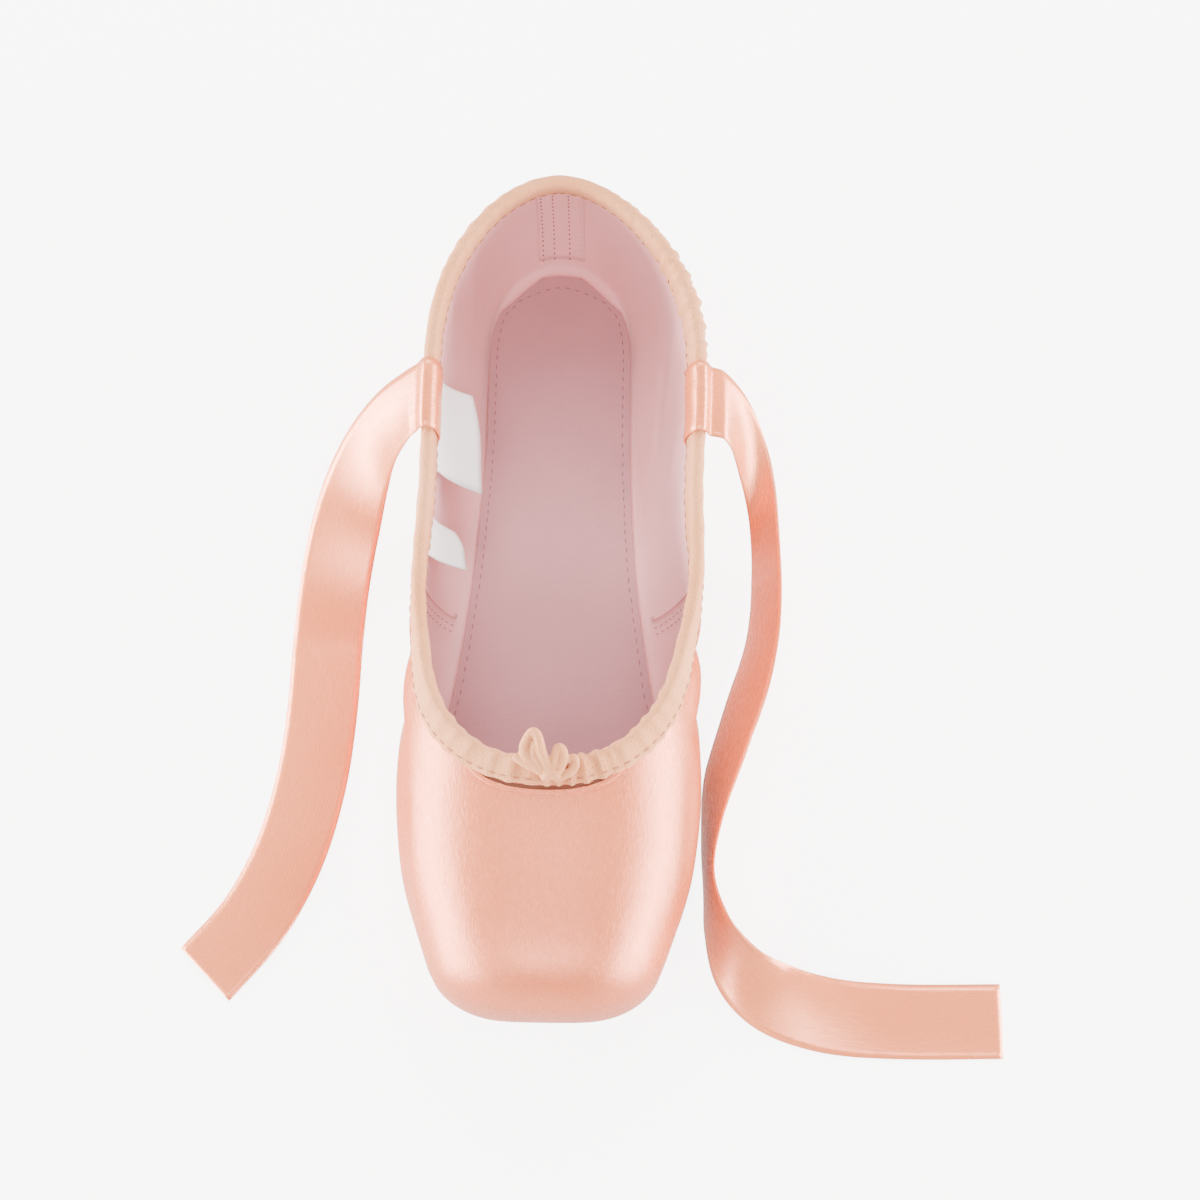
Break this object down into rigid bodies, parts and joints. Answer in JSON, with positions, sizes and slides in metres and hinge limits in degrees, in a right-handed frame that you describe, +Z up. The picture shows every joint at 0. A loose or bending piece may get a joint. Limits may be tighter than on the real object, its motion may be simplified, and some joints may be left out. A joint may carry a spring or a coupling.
{
  "type": "pointe shoe",
  "caption": "Satin pointe shoe with a stiff boxed toe, flat platform, gathered collar casing with drawstring, thin leather sole and sewn ribbons.",
  "frame": {"origin": "on the floor, under the middle of the shoe without its ribbons", "axes": "+Z up from the sole, -Y towards the toe, +X towards the shoe's left-hand side when worn"},
  "size_m": [0.2221, 0.2403, 0.0589],
  "materials": {
    "satin": "peach pink satin, glossy bands, pink cotton lining inside",
    "casing": "matte peach beige cotton tape, gathered",
    "sole_leather": "matte suede-like leather",
    "sock": "matte mauve pink sock cloth",
    "ribbon_satin": "glossy peach pink satin ribbon"
  },
  "bodies": {
    "root": {"upper": "satin", "binding": "casing", "outsole": "sole_leather", "insole": "sock", "drawstring_knot": "casing", "ribbon_left": "ribbon_satin", "ribbon_right": "ribbon_satin"}
  },
  "joints": []
}
